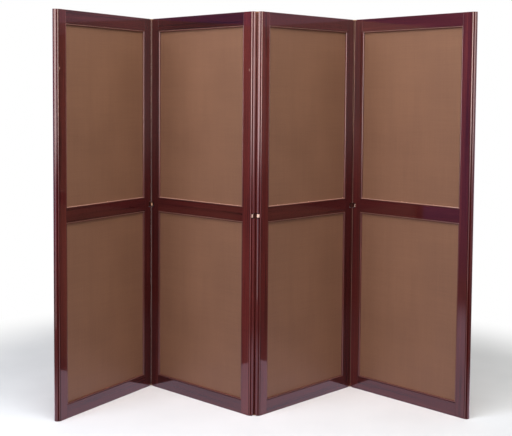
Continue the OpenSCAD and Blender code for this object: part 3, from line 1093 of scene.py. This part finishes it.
screw_tree, screw_inputs = screw_nodes()
brad_tree, brad_inputs = brad_nodes()
screw_brass = old_brass("screw_brass", shines["screws"])
brad_brass = old_brass("brad_brass", shines["brads"])
for panel in panel_turns:
    spots, turns = screw_spots(panel)
    mesh = bpy.data.meshes.new("screws")
    mesh.from_pydata(spots, [], [])
    turn = mesh.attributes.new("turn", "FLOAT_VECTOR", "POINT")
    for value, angles in zip(turn.data, turns):
        value.vector = angles
    mesh = with_nodes(mesh, screw_tree, screw_inputs, {"Finish": screw_brass})
    screws = add_piece(mesh, f"p{panel}_slotted_screws", place[panel])
    belongs(screws, panel, f"p{panel}_hinge_screws")

    crown_y = infill_half + slip_depth - brad_height / 2
    inset = slip_width / 2
    verts, edges = [], []
    for low, high in infills.values():
        x0, x1 = infill_left + inset, infill_right - inset
        z0, z1 = low + inset, high - inset
        first_x, last_x = x0 + brad_from_corner, x1 - brad_from_corner
        first_z, last_z = z0 + brad_from_corner, z1 - brad_from_corner
        rows = (
            ((first_x, z0), (last_x, z0)), ((first_x, z1), (last_x, z1)),
            ((x0, first_z), (x0, last_z)), ((x1, first_z), (x1, last_z)),
        )
        for start, end in rows:
            edges.append((len(verts), len(verts) + 1))
            verts += [(start[0], crown_y, start[1]), (end[0], crown_y, end[1])]
    mesh = bpy.data.meshes.new("brads")
    mesh.from_pydata(verts, edges, [])
    mesh = with_nodes(mesh, brad_tree, brad_inputs, {"Finish": brad_brass})
    brads = add_piece(mesh, f"p{panel}_back_brads", place[panel])
    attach(brads, f"panel_{panel}")


# The picture
# A round of white paper on the floor, a large soft light overhead and one at the left, and a
# studio whose two bright windows show in the polish.

paper_radius = 2.6
paper_drop = 0.0006

# How far from the middle the paper is seen whole and has faded into white, and how far its
# reflection keeps its strength and is weakest.
paper_whole = 1.5
paper_gone = 2.3
paper_near = 1.0
paper_far = 1.9
paper_sides = 96
paper_pale = (0.81, 0.84, 0.86)
paper_dull = (0.77, 0.80, 0.82)
paper_mirrored = (1.54, 1.16, 1.46)
paper_mirrored_far = 0.12
paper_returned = (0.55, 0.55, 0.56)

work = bmesh.new()
bmesh.ops.create_circle(work, cap_ends=True, segments=paper_sides, radius=paper_radius)
mesh = bpy.data.meshes.new("floor")
work.to_mesh(mesh)
work.free()
mesh.transform(Matrix.Translation((0, 0, -paper_drop)))
floor = bpy.data.objects.new("floor", mesh)
bpy.context.scene.collection.objects.link(floor)
material, shader, at = new_finish("white_paper")
x, y, _ = at.parts()
from_middle = x.distance(y)
path = at.node("ShaderNodeLightPath").socket.node.outputs
seen, mirrored = Shade(path["Is Camera Ray"]), Shade(path["Is Glossy Ray"])
fibre = at.stretched((3, 3, 3)).cloud(2)
white = fibre.between(0.2, 0.8).mix(paper_dull, paper_pale)
fibre.feed(shader, {
    "Base Color": seen.mix(paper_returned, white),
    "Roughness": 0.9,
    "Specular IOR Level": 0.0,
})
plain_white = at.node("ShaderNodeEmission", {}, {"Strength": 1.0})
in_polish = at.node("ShaderNodeEmission", {}, {
    "Color": (*paper_mirrored, 1),
    "Strength": from_middle.between(paper_near, paper_far, 1.0, paper_mirrored_far),
})
fade = from_middle.between(paper_whole, paper_gone) * seen
paper = fade.node("ShaderNodeMixShader", {}, {0: fade, 1: Shade(shader.outputs[0]), 2: plain_white})
paper = mirrored.node("ShaderNodeMixShader", {}, {0: mirrored, 1: paper, 2: in_polish})
surface = next(node for node in material.node_tree.nodes if node.type == "OUTPUT_MATERIAL")
paper.feed(surface, {"Surface": paper})
floor.data.materials.append(material)

ambient_low = (0.50, 0.50, 0.50)
ambient_high = (0.62, 0.60, 0.58)
room_left = (0.15, 0.12, 0.45)
room_right = (0.81, 0.55, 0.71)
room_dark = (0.10, 0.09, 0.10)
window_light = (8.4, 7.2, 7.3)
wall_light = (8.4, 6.8, 6.9)
ceiling_light = (14.0, 12.2, 11.0)

# Where the parts of the studio are. Sideways, from -1 at the left to 1 at the right, each fades
# in over its first two values and out over its last two. Upwards, as a climb to one of level
# reach, each is fully there at its second value.
left_window_sideways = (-0.92, -0.84, -0.54, -0.46)
right_window_sideways = (0.30, 0.38, 0.62, 0.72)
wall_sideways = (-0.92, -0.84, 0.86, 0.94)
wall_dims_sideways = (-0.05, 0.10)
wall_dimmed = 0.45
room_turns_sideways = (-0.3, 0.3)
above_floor_climb = (-0.26, -0.08)
wall_climb = (-0.10, -0.02)
window_climb = (-0.12, -0.02)
left_window_foot = 0.3
ceiling_climb = (0.7, 1.2)

world = bpy.data.worlds.new("studio")
bpy.context.scene.world = world
world.use_nodes = True
background = world.node_tree.nodes["Background"]
towards = Shade(background.inputs["Color"]).node("ShaderNodeTexCoord")
x, y, z = towards.parts()
level_reach = x.distance(y) + 0.0001
sideways = x / level_reach
climb = z / level_reach
in_front = y.between(0.1, -0.1)
wall = sideways.band(*wall_sideways) * climb.between(*wall_climb)
wall = wall * sideways.between(*wall_dims_sideways, 1.0, wall_dimmed)
room = sideways.between(*room_turns_sideways).mix(room_left, room_right)
room = (wall * in_front).mix(room, wall_light)
room = climb.between(*above_floor_climb).mix(room_dark, room)
left_window = sideways.band(*left_window_sideways)
left_window = left_window * climb.between(*window_climb, left_window_foot, 1.0)
right_window = sideways.band(*right_window_sideways) * climb.between(*window_climb)
room = ((left_window + right_window) * in_front).mix(room, window_light)
room = climb.between(*ceiling_climb).mix(room, ceiling_light)
ambient = z.between(-0.2, 0.8).mix(ambient_low, ambient_high)
path = towards.node("ShaderNodeLightPath").socket.node.outputs
seen, mirrored = Shade(path["Is Camera Ray"]), Shade(path["Is Glossy Ray"])
shown_there = seen.mix(mirrored.mix(ambient, room), (1.0, 1.0, 1.0))
shown_there.feed(background, {"Color": shown_there, "Strength": 1.0})


def softbox(name, stands_at, towards, size, power, colour):
    """A soft light that doesn't show in the polish."""
    light = bpy.data.lights.new(name, "AREA")
    light.shape = "RECTANGLE"
    light.size, light.size_y = size
    light.energy = power
    light.color = colour
    lamp = bpy.data.objects.new(name, light)
    lamp.location = stands_at
    way = Vector(towards) - Vector(stands_at)
    lamp.rotation_euler = way.to_track_quat("-Z", "Y").to_euler()
    lamp.visible_glossy = False
    bpy.context.scene.collection.objects.link(lamp)


softbox(
    "left_light", stands_at=(-2.7, -1.95, 2.4), towards=(-0.1, 0.0, 1.45), size=(1.4, 1.2),
    power=46, colour=(0.93, 0.97, 1.17),
)
softbox(
    "high_light", stands_at=(0.0, -1.5, 3.3), towards=(0.0, 0.1, 0.4), size=(2.6, 1.8),
    power=80, colour=(1.0, 0.99, 0.98),
)

# The camera's place and turn, and in pixels its focal length, its picture and where its axis
# meets it.
camera_at = Vector((-0.237, -4.366, 1.449))
yaw, pitch, roll = (math.radians(angle) for angle in (0.37, 3.37, 0.25))
focal_px = 934.5
picture_wide, picture_high = 512, 436
centre_x, centre_y = 205.8, 152
forward = Vector((
    -math.sin(yaw) * math.cos(pitch), math.cos(yaw) * math.cos(pitch), -math.sin(pitch)
))
level = Vector((math.cos(yaw), math.sin(yaw), 0))
upward = level.cross(forward)
right = level * math.cos(roll) + upward * math.sin(roll)
upward = upward * math.cos(roll) - level * math.sin(roll)
camera_data = bpy.data.cameras.new("camera")
camera = bpy.data.objects.new("camera", camera_data)
bpy.context.scene.collection.objects.link(camera)
facing = Matrix((right, upward, -forward)).transposed().to_4x4()
camera.matrix_world = Matrix.Translation(camera_at) @ facing
camera_data.sensor_width = 36
camera_data.lens = focal_px / picture_wide * camera_data.sensor_width
camera_data.shift_x = (picture_wide / 2 - centre_x) / picture_wide
camera_data.shift_y = (centre_y - picture_high / 2) / picture_wide
bpy.context.scene.camera = camera
bpy.context.scene.view_settings.view_transform = "Standard"
